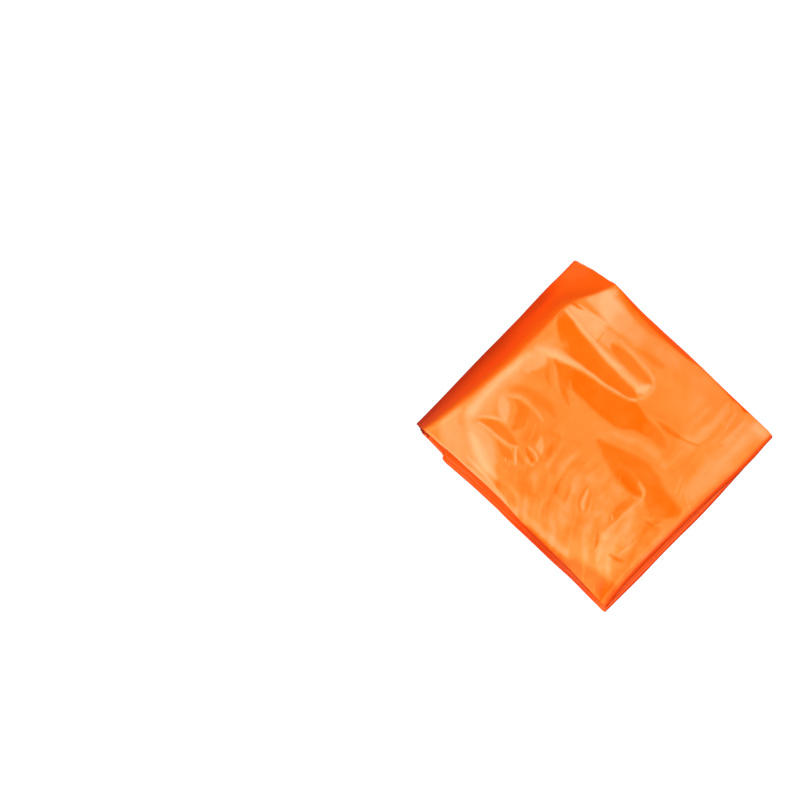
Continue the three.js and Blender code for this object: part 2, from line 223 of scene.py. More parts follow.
PATCHES = [
    # the large painted reflection behind the last fold, fading to the right
    (0.82, 0.9, 0.0, 1.4, [(-49.6, 42.2, 0.8), (-46, 45, 3), (-43.5, 50, 3), (-42, 54, 1.6)]),
    (0.82, 0.85, 0.0, 1.2, [(-47, 42.4, 1), (-42.5, 42.8, 1.8), (-38, 43, 1.6)]),
    (0.96, 0.9, 0.15, 2.4, [(-44, 50.5, 3), (-39.5, 47.8, 5.2), (-33.5, 46, 6), (-29, 45.5, 5)]),
    (0.76, 0.8, 0.0, 2.6, [(-28, 46, 4.8), (-22, 46, 4.8), (-17.5, 46.3, 3.8)]),
    (0.68, 0.6, 0.0, 3.0, [(-13, 47.5, 2.6), (-5, 49, 2), (2, 50.5, 2)]),
    (0.5, 0.7, 0.0, 0.9, [(-52.6, 37.6, 0.8), (-49, 38, 1.2), (-44.5, 38.5, 0.9), (-40, 39.2, 0.4)]),
    # the strip along the back edge that has slipped down
    (0.36, 0.88, -0.15, 1.0, [(-42, 57.8, 1.2), (-37, 57.2, 2.8), (-30, 56.9, 4.3), (-22, 56.6, 5),
        (-14, 56.7, 4.8), (-6, 57.2, 3.6), (2, 57.4, 2.6)]),
    (0.03, 0.92, -0.1, 0.8, [(-44, 58.2, 0.3), (-37, 57.8, 1.2), (-28, 57.3, 2.4), (-18, 57.2, 2.9),
        (-8, 57.2, 2.8), (0, 57.4, 2.6), (6, 57.5, 2.2), (14, 57.7, 1.5), (28, 57.6, 1.3),
        (38, 57.2, 1.4)]),
    (0.03, 0.9, -0.1, 0.5, [(38, 57.4, 1.2), (42.5, 56.9, 1.2), (44.6, 56.6, 1.3), (46.6, 57.2, 0.8),
        (50, 57.7, 0.2)]),
    (0.42, 0.75, 0.0, 1.2, [(-13.5, 41.4, 0.6), (-9, 42.1, 1.5), (-4, 42.5, 2), (1, 43.4, 1.3)]),
    # the raised tunnel: painted reflection at the left, painted shade in its hollow, painted highlight at
    # its round right end
    (0.86, 0.9, 0.2, 0.8, [(-53.8, 33, 0.8), (-50, 33.8, 1.7), (-45, 34.2, 2.8), (-40, 34.4, 3.6),
        (-33, 34.6, 4)]),
    (0.76, 0.8, 0.1, 1.4, [(-29, 35.2, 4), (-25.5, 34.8, 3.6)]),
    (0.4, 0.88, -0.2, 0.9, [(-23, 34.4, 1.2), (-20.5, 34, 2), (-16, 33.7, 2.9), (-10, 33.5, 3),
        (-5, 33.4, 2.6), (-1.5, 33, 1.7), (3.2, 33.4, 0.6)]),
    (0.95, 0.9, 0.1, 1.6, [(1.6, 26.6, 1.4), (3, 28.8, 2.4), (3.4, 31, 1.2)]),
    # the painted shade of the deep leaf between the two ridges
    (0.32, 0.95, -0.2, 0.6, [(-53.9, 29.7, 0.2), (-50, 27, 3.2), (-45, 24.6, 4.9), (-40, 22.6, 5.8),
        (-35, 22, 5.9), (-30, 21.9, 5.7), (-20, 21.8, 4.4), (-10, 22.1, 3.6), (0, 22.9, 2.3),
        (3.5, 23.3, 0.4)]),
    (0.64, 0.8, 0.0, 2.0, [(-52, 22.5, 1), (-48.5, 18.6, 1.8), (-44, 16, 2), (-40, 17.5, 1)]),
    (0.5, 0.6, 0.0, 0.9, [(-41.5, 19.6, 0.3), (-39.5, 18.4, 0.8), (-36.5, 16.8, 0.5)]),
    # the broad start of the second ridge
    (0.88, 0.85, 0.0, 2.0, [(-48, 7.5, 2), (-43, 10.2, 2.6), (-38, 12.2, 2.2), (-33, 13.8, 1.3),
        (-28, 15, 0.7)]),
    (0.84, 0.85, 0.0, 1.3, [(-46.3, 6.5, 3), (-44.6, 4, 4.3), (-44.6, 0.5, 3.8), (-45, -3, 2.2)]),
    # the deep band in front of the second ridge, with its fingers at the left
    (0.33, 0.92, -0.08, 0.8, [(-38.4, 9.2, 0.3), (-35.5, 8.4, 1.3), (-32, 8.5, 3.2), (-28, 8.8, 4.6),
        (-24, 9, 5.4)]),
    (0.3, 0.92, -0.12, 1.1, [(-25, 9.8, 4.4), (-20, 10, 5.4), (-13.5, 10.6, 6), (-5, 11.3, 6.9),
        (2, 13.2, 7.9), (8, 14.6, 6.8), (13, 15.6, 4.6), (19, 16.2, 3.4)]),
    (0.4, 0.85, -0.08, 0.8, [(18, 16.3, 3.2), (23, 16.4, 2.8), (27, 15.8, 2.4), (30, 15.2, 1)]),
    (0.4, 0.75, -0.1, 0.8, [(-38.2, 5.5, 0.6), (-37.5, 3, 1.1), (-35, 0.8, 1), (-31, -1.4, 0.4)]),
    (0.36, 0.8, -0.1, 0.8, [(-31, 6, 1.6), (-27, 2.9, 1.6), (-22, -0.2, 1.2), (-18, -2, 0.3)]),
    (0.66, 0.8, 0.1, 0.6, [(-36.5, 7.2, 0.4), (-33.5, 4.3, 0.8), (-29.5, 1.2, 0.8), (-25, -1.2, 0.3)]),
    (0.62, 0.75, 0.06, 0.8, [(-25.8, 6.8, 0.4), (-22.5, 4.2, 0.8), (-18.5, 2.4, 0.8), (-13.5, 0.6, 0.3)]),
    (0.46, 0.6, 0.0, 1.8, [(9.5, 23.3, 1.5), (15.5, 24.6, 2.2), (20.5, 25.6, 1.2)]),
    # the paler strip behind the ribbon
    (0.7, 0.65, 0.05, 1.6, [(6, 2.5, 1.2), (12, 5, 1.8), (20, 8.5, 2.2), (28, 9.5, 2.4), (36, 9, 1.5)]),
    # the deep ribbon at the right
    (0.34, 0.92, -0.12, 1.6, [(5, -5, 1.2), (8, -5.2, 2.3), (14, -4.9, 4.7), (20, -4.8, 6.2),
        (26, -4.7, 7.8), (32, -4.4, 8.6), (37, -3.7, 7.2), (42, -4.6, 6.2), (47, -5.6, 6.6),
        (52, -4.6, 5.2), (55.5, -3.4, 2.6)]),
    (0.24, 0.75, 0.0, 1.4, [(24, -10.2, 0.6), (30, -10.6, 1.8), (36, -10, 1.2)]),
    (0.52, 0.5, 0.0, 1.2, [(20, -6.2, 0.8), (26, -5.2, 1.2), (32, -5.6, 0.8)]),
    (0.28, 0.7, 0.0, 1.6, [(42, -3, 2.6), (47.5, -4.6, 3.2), (52, -4, 2.4)]),
    (0.68, 0.7, 0.0, 1.4, [(57.6, 1, 0.5), (59.4, -6, 1), (60.2, -16, 1.1), (60.4, -30, 0.8)]),
    # deep and pale places at the left of the front half
    (0.4, 0.85, -0.1, 1.8, [(-45, -16, 0.6), (-40.5, -13, 1.8), (-35, -11, 2.4), (-29, -10, 2.6),
        (-24, -9.4, 2.2), (-19.5, -10.5, 1.2)]),
    (0.36, 0.85, -0.05, 1.4, [(-38.8, -18.4, 0.5), (-34.5, -18.8, 2), (-30.5, -20.6, 3.4),
        (-28.8, -25, 3.2), (-29, -28.5, 1.4)]),
    (0.45, 0.8, 0.0, 1.3, [(-27, -18.3, 1.8), (-23.5, -21.5, 3.6), (-21, -26.5, 3.6)]),
    (0.6, 0.7, 0.05, 0.5, [(-27, -21.5, 0.3), (-24.8, -25, 0.5), (-23.4, -29, 0.3)]),
    (0.62, 0.7, 0.05, 0.5, [(-22.8, -20, 0.3), (-20.8, -23.6, 0.5), (-19.6, -28, 0.3)]),
    (0.7, 0.5, 0.0, 2.0, [(-46, -20, 1.5), (-43, -19, 1)]),
    (0.86, 0.85, 0.1, 1.2, [(-43.8, -21.6, 1.4), (-40.6, -24.3, 2.9), (-37, -27.2, 2.4),
        (-34.4, -29.2, 0.9)]),
    (0.4, 0.9, -0.1, 0.7, [(-44, -37.6, 0.2), (-41, -35.9, 1.4), (-36.5, -34.2, 2.5), (-31.5, -33.8, 2.7),
        (-27, -33.9, 2), (-23.5, -33.8, 0.8), (-21.8, -33.8, 0.3)]),
    (0.3, 0.92, -0.15, 0.4, [(-18, -31.8, 0.3), (-15.3, -32.7, 0.9), (-12.4, -33.7, 0.8),
        (-10.8, -34.4, 0.2)]),
    (0.78, 0.7, 0.05, 0.6, [(-15, -35, 0.5), (-12, -36, 1), (-9.8, -35.4, 0.8)]),
    (0.38, 0.85, -0.1, 0.7, [(-30.8, -38.7, 0.3), (-26.5, -39.6, 1.5), (-23, -40, 2.4),
        (-20.5, -40.3, 1.6)]),
    (0.42, 0.7, -0.05, 0.9, [(-19, -36, 0.6), (-16.5, -37.5, 1.1), (-13.5, -38.3, 0.8)]),
    (0.88, 0.85, 0.1, 1.3, [(-16, -22.5, 0.5), (-14.6, -25, 1.5), (-13, -27.2, 2), (-11, -28.3, 0.9)]),
    (0.38, 0.75, -0.1, 1.2, [(-13, -17.5, 0.8), (-10, -17.5, 1.4), (-9.2, -21, 1.7), (-8.6, -26, 0.9)]),
    (0.43, 0.8, -0.05, 1.6, [(-18, -44, 1.2), (-14, -44, 3), (-9, -45.5, 3.4), (-4, -47.5, 2.4),
        (1, -45.5, 1.2)]),
    (0.42, 0.75, -0.05, 1.2, [(-17, -53.2, 0.6), (-12, -53, 1.6), (-6, -53.8, 1.8), (-2, -55, 0.8)]),
    (0.68, 0.6, 0.05, 1.0, [(-6, -24, 0.8), (-4.5, -31, 1.2), (-1.5, -37, 1.3), (3, -43, 0.9)]),
    # the large painted reflection at the front left corner
    (0.76, 0.92, 0.0, 3.0, [(-55, -43, 3), (-53, -49, 5.5), (-46, -52.5, 6), (-37, -55.5, 4),
        (-30, -57, 1.5)]),
    (0.8, 0.88, 0.0, 1.6, [(-43, -40.6, 1.6), (-36, -42.6, 3.4), (-30, -45.6, 3.4), (-25, -48, 2.2)]),
    (0.9, 0.85, 0.0, 3.0, [(-51, -37, 1), (-49, -40, 1.6), (-44.5, -43, 1.8), (-40, -45.6, 1.8)]),
    (0.99, 0.92, 0.0, 2.6, [(-42, -45, 1), (-38, -47, 2.2), (-33, -49.4, 2.8), (-27, -51.2, 2.6),
        (-21.5, -51.8, 1.6), (-18.5, -52, 0.5)]),
    # the painted highlight on the film over the last fold's shoulder
    (0.76, 0.7, 0.0, 3.4, [(-46.5, 13, 2.5), (-47, 0, 3), (-46.8, -12, 3.4), (-47, -32, 4)]),
    (0.98, 0.92, 0.0, 2.6, [(-49, 3, 1), (-49.9, -3, 1.5), (-50.3, -10, 1.7), (-50.6, -20, 1.8),
        (-50.4, -30, 2.2), (-49.2, -37, 2.6)]),
    # deep and pale places of the front half's right side
    (0.43, 0.7, -0.05, 2.0, [(49.5, -11, 3.5), (53.5, -18, 4), (55.5, -26, 3.6), (56.2, -34, 2.2)]),
    (0.42, 0.8, -0.1, 0.9, [(35.6, -14.5, 1.8), (35.8, -20, 2.4), (36, -26, 1.8), (36.5, -31, 0.6)]),
    (0.69, 0.75, 0.05, 1.8, [(41.2, -12.5, 1.3), (42, -20, 2.7), (42.6, -30, 3.6), (43.6, -38, 4.4),
        (46.8, -44.5, 4.6), (50, -47.6, 3.6)]),
    (0.69, 0.7, 0.05, 1.5, [(30, -29, 1), (31, -35, 1.9), (33.4, -41, 2.5), (37, -46.6, 2.4),
        (40, -50.6, 0.8)]),
    (0.68, 0.6, 0.0, 2.0, [(28, -15, 2), (27, -24, 3.4), (27, -33, 2.6)]),
    (0.7, 0.6, 0.05, 0.9, [(11, -29, 0.8), (14, -35, 1.6), (18, -42, 1.8), (24, -49, 1.2)]),
    (0.36, 0.65, -0.08, 0.8, [(4.8, -31, 0.6), (6, -34.5, 1.2), (8, -37.4, 1)]),
    (0.4, 0.6, -0.08, 0.8, [(11, -31, 0.6), (12, -34, 1), (13, -37, 0.5)]),
    (0.36, 0.85, -0.1, 0.6, [(48.6, -17, 0.3), (50.5, -16.4, 0.9), (52.5, -16.6, 0.3)]),
    # the front edge, and the corner at the front right, pressed down
    (0.24, 0.88, -0.1, 1.1, [(8, -58.9, 0.5), (14, -58.7, 1.2), (24, -58.6, 1.5), (33, -58.6, 1.6),
        (38, -58.8, 1.2)]),
    (0.78, 0.75, 0.0, 1.4, [(3, -55.5, 1.2), (12, -55.6, 1.8), (22, -55.4, 2), (31, -55, 1.4)]),
    (0.22, 0.85, -0.1, 1.9, [(34.5, -57.6, 1), (38.6, -56.2, 2.8), (46, -55.6, 4.2), (54, -55, 4.4),
        (59.5, -54, 4.6), (62, -53, 3)]),
    (0.55, 0.7, 0.0, 0.5, [(41.5, -53.2, 0.3), (43.5, -54.6, 0.5), (44.6, -56.2, 0.3)]),
    # broad paler places of the back half's right side
    (0.74, 0.75, 0.0, 3.0, [(51.5, 50, 5), (53, 38, 6), (54, 20, 5.5), (54, 9, 3.5)]),
    (0.88, 0.7, 0.0, 2.0, [(54, 54, 2.2), (60, 54, 2)]),
    (0.68, 0.6, 0.0, 3.5, [(20, 49, 4), (25, 42, 5), (26, 33, 3)]),
    (0.72, 0.65, 0.05, 1.2, [(36.5, 52, 0.8), (37.6, 45, 1.6), (38, 36, 1.8), (38, 29, 1.2),
        (38.6, 26.5, 0.5)]),
]

# Creases of the top ply, ridges or troughs: tone and cover of the stripe on it, a painted highlight where
# pale and a painted shade where deep, the ply's rise, how far its slopes reach to the line's left and
# right, and a line of places with the stripe's half-widths

CREASES = [
    # the first ridge, and the rim of the tunnel behind it
    (0.92, 0.9, 0.6, (3.0, 1.2), [(-54.7, 31.3, 0.6), (-50, 30.9, 0.8), (-45, 30.4, 1), (-40, 29.6, 1.4),
        (-30, 28.9, 1.5), (-20, 27.8, 1.9), (-10, 27.8, 2), (-3, 27.8, 1.9), (2, 28, 1.6)]),
    (0.95, 0.8, 0.3, (2.0, 1.4), [(-50, 36.9, 0.4), (-47, 37.4, 0.6), (-43, 38, 0.8), (-38, 38.8, 0.9),
        (-32.5, 39.3, 0.9)]),
    (0.76, 0.75, 0.25, (2.2, 1.6), [(-27, 38.5, 1.2), (-18, 38.1, 1.3), (-10, 37.8, 1.2), (-3, 37.2, 1.1),
        (2.5, 35.6, 0.9)]),
    (0.76, 0.7, 0.25, (2.4, 2.0), [(1.5, 36, 0.7), (5, 33, 1.2), (6.2, 29, 1.5), (5.2, 24.6, 1.1)]),
    (0.7, 0.75, 0.15, (1.0, 1.0), [(5.2, 24.6, 0.9), (1.8, 21.4, 0.8), (-2, 19.9, 0.5)]),
    # the second ridge
    (0.9, 0.85, 0.4, (2.6, 2.0), [(-46.5, 8.4, 1.4), (-43, 10.2, 1.9), (-38.5, 12.2, 1.8),
        (-34, 13.7, 1.5), (-28.5, 15.2, 1.1), (-20, 16.4, 0.8), (-12, 17.4, 0.7), (-5, 18.8, 0.7),
        (0, 20.2, 0.6), (3.5, 21.8, 0.6)]),
    # the arc and the small folds around the meeting place of the creases at the left
    (0.74, 0.8, 0.25, (1.8, 1.2), [(-44.5, -20.5, 1), (-41, -18, 1.3), (-37, -15.9, 1.3), (-31, -15, 1.2),
        (-26, -15.2, 0.9), (-21.5, -16.4, 0.6)]),
    (0.86, 0.75, 0.25, (1.5, 0.7), [(-45.6, -37, 0.5), (-42.6, -34.2, 0.8), (-39, -31.6, 0.9),
        (-36, -30, 0.5)]),
    (0.88, 0.8, 0.3, (0.7, 1.4), [(-43.5, -38.6, 0.5), (-38, -37.9, 0.6), (-32, -37.5, 0.6),
        (-27.5, -36.7, 0.5), (-23.5, -35.6, 0.45), (-21, -34, 0.4)]),
    (0.95, 0.8, 0.2, (0.9, 0.6), [(-17.4, -30.7, 0.3), (-14.2, -30.5, 0.5), (-11.4, -31.2, 0.7),
        (-9.9, -32.4, 0.6)]),
    (0.95, 0.85, 0.25, (0.8, 0.8), [(-21.6, -34.3, 0.3), (-19.2, -37.5, 0.5), (-16.2, -41, 0.35)]),
    (0.66, 0.6, 0.15, (0.8, 0.8), [(-20, -34, 0.3), (-15.5, -36, 0.4), (-12, -38.6, 0.3)]),
    (0.78, 0.7, 0.12, (0.6, 0.6), [(-21.6, -42, 0.3), (-19.4, -44.6, 0.4)]),
    (0.76, 0.7, 0.12, (0.6, 0.6), [(-19.2, -41.8, 0.25), (-17.4, -44.2, 0.35)]),
    (0.42, 0.7, -0.1, (0.6, 0.6), [(-20.8, -43.6, 0.3), (-18.6, -46, 0.4)]),
    (0.68, 0.7, 0.1, (0.6, 0.6), [(-10.8, -50, 0.3), (-9, -52, 0.35)]),
    # the hook and the long fold that runs on from it
    (0.74, 0.88, 0.3, (2.0, 1.1), [(33.2, -5.8, 0.8), (35, -6.4, 1.2), (37, -6.8, 1.1), (38.8, -8.6, 0.9),
        (39.8, -11.4, 0.9)]),
    (0.8, 0.6, 0.35, (0.8, 4.5), [(39.8, -11, 0.5), (39.4, -16, 0.6), (39, -23, 0.6), (38.6, -31, 0.6),
        (38.8, -38, 0.4)]),
    (0.7, 0.75, 0.15, (0.8, 0.8), [(35.8, -13.4, 0.4), (37.2, -12.4, 0.7), (39.2, -11.4, 0.6)]),
    (0.9, 0.8, 0.15, (0.6, 0.6), [(34.6, -26.3, 0.35), (36.2, -27.8, 0.4)]),
    # the long folds at the right
    (0.72, 0.5, 0.12, (2.0, 1.2), [(36.4, 53, 0.8), (37.6, 44, 1), (38.6, 34, 1), (37.4, 20, 0.9),
        (37.5, 8, 0.6)]),
    (0.47, 0.65, -0.12, (1.2, 1.4), [(41.2, 42.5, 0.4), (42.2, 38, 1), (42.2, 33, 1), (41, 28, 0.5)]),
    (0.5, 0.6, -0.1, (1.2, 1.2), [(41.4, 26, 0.5), (42.2, 19, 0.9), (41.8, 10, 0.4)]),
    (0.42, 0.75, -0.2, (0.9, 0.9), [(37.6, 54, 0.3), (40.4, 50, 0.4), (41.6, 45.5, 0.3)]),
    (0.47, 0.6, -0.12, (1.2, 1.2), [(46.4, 53, 0.5), (46.8, 48, 0.9), (45.8, 43.4, 0.6),
        (44.8, 41, 0.3)]),
    (0.76, 0.55, 0.12, (1.2, 1.2), [(42.6, 52, 0.5), (43.4, 46, 0.8), (45, 41, 0.5)]),
    (0.78, 0.6, 0.15, (1.0, 1.0), [(48.6, 50, 0.7), (49, 42, 0.9), (47.6, 36, 0.5)]),
    (0.27, 0.85, -0.3, (1.4, 1.2), [(18.8, 21.8, 0.5), (22, 22.2, 1.3), (27, 22.9, 1.3),
        (31, 23.7, 0.9)]),
    (0.34, 0.8, -0.2, (1.0, 1.0), [(30, 23.5, 0.7), (35, 24.9, 0.5), (39, 26.6, 0.5), (41.5, 27.4, 0.3)]),
    (0.76, 0.5, 0.2, (1.2, 1.2), [(52.5, 6, 0.4), (57.5, 3.2, 0.6), (61, 1.3, 0.4)]),
    (0.76, 0.5, 0.1, (0.7, 0.7), [(45.6, 10.5, 0.3), (47.2, 6.6, 0.5), (48.8, 3, 0.3)]),
    (0.76, 0.5, 0.1, (0.7, 0.7), [(48.6, 9, 0.3), (50.6, 5.4, 0.5), (52.4, 2, 0.3)]),
    (0.78, 0.8, 0.2, (0.9, 0.9), [(51.8, -26.6, 0.5), (51.3, -32, 0.6), (50.6, -38, 0.4)]),
    (0.26, 0.9, -0.25, (1.1, 1.1), [(47.2, -41, 0.5), (49.6, -40.2, 1.1), (52.2, -39.3, 0.9),
        (54.4, -38.4, 0.4)]),
    (0.3, 0.85, -0.25, (1.0, 1.0), [(34.4, -35.6, 0.3), (36.8, -38.2, 0.8), (38.8, -41.4, 0.6),
        (39.8, -43.8, 0.3)]),
    (0.82, 0.6, 0.1, (0.8, 0.8), [(40.6, -40, 0.5), (43, -43.6, 0.8), (45.4, -47.6, 0.4)]),
    (0.74, 0.8, 0.15, (0.8, 0.8), [(53.6, -15.2, 0.4), (55.2, -13, 0.7)]),
    (0.66, 0.7, 0.12, (0.8, 0.8), [(46.8, -16.2, 0.5), (50, -13.6, 0.7)]),
    (0.66, 0.6, 0.12, (0.8, 0.8), [(24, -9.6, 0.3), (26, -12.4, 0.4)]),
    # the small teardrop
    (0.38, 0.8, -0.12, (0.7, 0.7), [(16.4, -24.4, 0.4), (17.2, -28.6, 0.7), (19.2, -33, 0.7),
        (22.6, -36, 0.4)]),
    (0.84, 0.85, 0.15, (0.9, 0.9), [(18.2, -26, 0.5), (19.4, -29.4, 0.9), (21.2, -32.6, 0.9),
        (23, -34.4, 0.4)]),
    (0.42, 0.75, -0.1, (0.7, 0.7), [(19.2, -25, 0.4), (21.4, -28, 0.6), (23.4, -32, 0.6),
        (24.4, -34.6, 0.3)]),
    (0.72, 0.5, 0.1, (0.7, 0.7), [(22.6, -27.6, 0.3), (24.8, -31.5, 0.5), (25.6, -34.6, 0.3)]),
    # small marks at the left edge, on the tunnel and at the front right corner
    (0.24, 0.9, -0.2, (0.8, 0.8), [(-52.7, 35.5, 0.8), (-50.9, 35.8, 0.9), (-48.9, 36.1, 0.7),
        (-46.4, 36.6, 0.3)]),
    (0.5, 0.8, -0.06, (0.5, 0.5), [(-29.8, 29.8, 0.3), (-30.3, 33, 0.4), (-30.5, 36.1, 0.3)]),
    (0.68, 0.7, 0.1, (0.6, 0.6), [(45.2, -56.8, 0.3), (46.6, -58.4, 0.4)]),
    (0.68, 0.7, 0.1, (0.6, 0.6), [(52.2, -56.8, 0.3), (53.8, -58.4, 0.4)]),
    # the lines along the front edge of the upper layers
    (0.95, 0.8, 0.12, (0.8, 1.0), [(-36, -54.2, 0.3), (-30, -54.6, 0.8), (-22, -55.2, 1), (-14, -56, 0.8),
        (-6, -57.2, 0.4)]),
    (0.5, 0.7, -0.1, (0.6, 0.6), [(-34, -56.6, 0.4), (-22, -57.2, 0.6), (-12, -58, 0.4)]),
    (0.92, 0.85, 0.0, (0.5, 0.5), [(-60, -59, 0.3), (-45, -58.3, 0.5), (-36, -57.9, 0.6),
        (-27, -57.3, 0.8), (-15, -57.2, 0.7), (-4, -57.8, 0.3)]),
]

BASE_TONE = 0.58  # tone of the top ply between the patches, a partial painted reflection
BASE_NOISE = [(0.05, 14.0, 14.0, 0.0, 5)]
PATCH_MARGIN = 12.0  # more than any patch's half-width
CREASE_MARGIN = 4.0  # times its reach, from where on a crease has no effect
CREASE_SHARPNESS = 2.2
CREASE_END = 4.0  # length over which a crease's relief fades out at its ends
OUTLINE_WARPS = [(0.3, 7.0), (0.12, 2.4)]  # how far outlines wander, and over what length
UNEVEN_CREASE = 0.3
UNEVEN_LENGTH = 3.5

# Soft streaks that run from back to front, and blotches, in the painted sheen and shade and a little in
# the rise: how strong they are, and their noise
STREAK_TONE = 0.085
STREAK_RISE = 0.025
STREAK_SWAY = [(2.0, 11.0, 13.0, 0.0, 40)]
STREAK_NOISE = [(1.0, 3.6, 13.0, 0.0, 41), (0.5, 1.7, 7.0, 0.0, 42)]
BLOTCH_NOISE = [(0.7, 5.0, 5.0, 0.0, 43), (0.4, 2.2, 2.2, 0.0, 44)]
STREAK_BEND_FROM = -15.0  # towards the front from here they bend to the right
STREAK_BEND = 90.0
FRONT_STREAKS_FROM = (-24.0, -12.0)
FRONT_STREAKS_TO = (-18.0, -8.0)
BACK_STREAKS = 0.6
BACK_STREAKS_FROM = (24.0, 34.0)
BACK_STREAKS_BEHIND = (2.0, 10.0)
LEAST_STREAKS = 0.1
LEAST_BLOTCHES = 0.4


def nearest_on(curve, x, y):
    """How far points are from a curve, and the half-width and the distance to the curve's ends at
    the nearest place on it, and whether the point is on its left."""
    lengths = np.hypot(*np.diff(curve[:, :2], axis=0).T)
    starts = np.concatenate([[0], np.cumsum(lengths)])
    distance = np.full(x.shape, np.inf)
    half, to_end, left = np.zeros((3, *x.shape))
    for a, b, length, start in zip(curve[:-1], curve[1:], lengths, starts):
        way = (b[:2] - a[:2]) / length
        place = np.clip((x - a[0]) * way[0] + (y - a[1]) * way[1], 0, length)
        off_x, off_y = x - a[0] - place * way[0], y - a[1] - place * way[1]
        gap = np.hypot(off_x, off_y)
        closer = gap < distance
        distance[closer] = gap[closer]
        half[closer] = blend(a[2], b[2], place / length)[closer]
        to_end[closer] = np.minimum(start + place, starts[-1] - start - place)[closer]
        left[closer] = (way[0] * off_y > way[1] * off_x)[closer]
    return distance, half, to_end, left


def near(curve, x, y, margin):
    """Which points lie in the box around a curve, widened by a margin."""
    low = curve[:, :2].min(axis=0) - margin
    high = curve[:, :2].max(axis=0) + margin
    return (x > low[0]) & (x < high[0]) & (y > low[1]) & (y < high[1])


def crease_profile(share, rounding=0.2, steepness=1.6):
    """1 on the crease and 0 at the end of its reach, with a slightly rounded top."""
    rounded = np.sqrt(share ** 2 + rounding ** 2) - rounding
    return np.clip(1 - rounded, 0, 1) ** steepness


def streaks(x, y):
    """Soft streaks that bend to the right near the front, among blotches."""
    bend = np.clip(STREAK_BEND_FROM - y, 0, None) ** 2 / STREAK_BEND
    field = layered_noise(x - bend + layered_noise(x, y, STREAK_SWAY), y, STREAK_NOISE)
    front = smoothstep(x, *FRONT_STREAKS_FROM) * (1 - smoothstep(y, *FRONT_STREAKS_TO))
    back = BACK_STREAKS * smoothstep(x, *BACK_STREAKS_FROM) * smoothstep(y, *BACK_STREAKS_BEHIND)
    blotches = layered_noise(x, y, BLOTCH_NOISE) * blend(LEAST_BLOTCHES, 1.0, front)
    return field * np.clip(front + back, LEAST_STREAKS, 1) + blotches


def top_fields(x, y):
    """Tone of painted sheen and shade, and rise, of the top ply at flat arrays of places."""
    streak = streaks(x, y)
    for seed, (amount, length) in enumerate(OUTLINE_WARPS):
        x = x + amount * soft_noise(x / length, y / length, seed=51 + seed)
        y = y + amount * soft_noise(x / length, y / length, seed=61 + seed)
    lost = np.clip(soft_noise(x / UNEVEN_LENGTH, y / UNEVEN_LENGTH, seed=71), 0, 1)
    uneven = 1 - UNEVEN_CREASE * lost
    sheen_and_shade = BASE_TONE + layered_noise(x, y, BASE_NOISE)
    rise = STREAK_RISE * streak
    for target, cover, height, edge, line in PATCHES:
        curve = smooth_curve(line)
        here = near(curve, x, y, PATCH_MARGIN + edge)
        distance, half, *_ = nearest_on(curve, x[here], y[here])
        mask = 1 - smoothstep(distance - half, -edge, edge)
        sheen_and_shade[here] = blend(sheen_and_shade[here], target, cover * mask)
        rise[here] += height * mask
    sheen_and_shade += STREAK_TONE * streak
    for target, cover, height, reach, line in CREASES:
        curve = smooth_curve(line)
        here = near(curve, x, y, CREASE_MARGIN * max(reach))
        distance, half, to_end, left = nearest_on(curve, x[here], y[here])
        mask = np.exp(-(distance / half) ** CREASE_SHARPNESS)
        sheen_and_shade[here] = blend(sheen_and_shade[here], target, cover * mask * uneven[here])
        share = distance / np.where(left > 0, *reach)
        rise[here] += height * crease_profile(share) * smoothstep(to_end, 0, CREASE_END)
    return np.clip(sheen_and_shade, 0, 1), rise


# The film's way through the pack

def table_reader(rows, columns, smoothing):
    """Reads a table at any place on its first column, with its corners rounded over a short length."""
    table = np.array(rows, float)
    fine = np.linspace(table[0, 0], table[-1, 0], TABLE_STEPS)
    sigma = smoothing / (fine[1] - fine[0])
    reach = int(3 * sigma) + 1
    weights = np.exp(-0.5 * (np.arange(-reach, reach + 1) / sigma) ** 2)
    weights /= weights.sum()
    smooth = {}
    for i, name in enumerate(columns[1:], 1):
        values = np.interp(fine, table[:, 0], table[:, i])
        slope = (values[-1] - values[-2], values[1] - values[0])
        before = values[0] - slope[1] * np.arange(reach, 0, -1)
        after = values[-1] + slope[0] * np.arange(1, reach + 1)
        smooth[name] = np.convolve(np.concatenate([before, values, after]), weights, "valid")
    return lambda at: {name: np.interp(at, fine, values) for name, values in smooth.items()}


read_section = table_reader(SECTIONS, SECTION_COLUMNS, SECTION_SMOOTHING)
read_edges = table_reader(EDGES, EDGE_COLUMNS, EDGE_SMOOTHING)


def film_insets(film):
    """How far a film stops short of its group's front and back edge."""
    tube = int(film) // 2
    ragged = np.random.default_rng(31).uniform(-TUBE_RAGGED, TUBE_RAGGED, (FILMS // 2, 2))
    loose = 0.0 if tube == FILMS // 2 - 1 else 1.0
    front, back = LAYER_INSETS[int(film) // PLIES]
    return front + loose * ragged[tube, 0], back + loose * ragged[tube, 1]


def pack_height(section, x):
    """Height of the top film over a place along the pack."""
    rise = smoothstep(x, section["ridge"], section["ridge"] + RISE_FROM_LEFT)
    end = section["right_top"] - RIGHT_TURN
    fall = smoothstep(x, end - FALL_TO_RIGHT, end)
    return blend(blend(section["left"], section["middle"], rise), section["right"], fall)


def film_height(section, film, x):
    return film * pack_height(section, x) / TOP_FILM


def film_in(layer, ply, heading):
    """Which film, counted from the bottom, a ply is in a layer."""
    return PLIES * layer + (ply if heading < 0 else PLIES - 1 - ply)


def arc(centre_x, centre_z, radius, start, sweep, steps):
    """Places on a turn, one row for each step."""
    angles = start + sweep * np.linspace(0, 1, steps + 1)[:, None]
    return centre_x + radius * np.cos(angles), centre_z + radius * np.sin(angles)


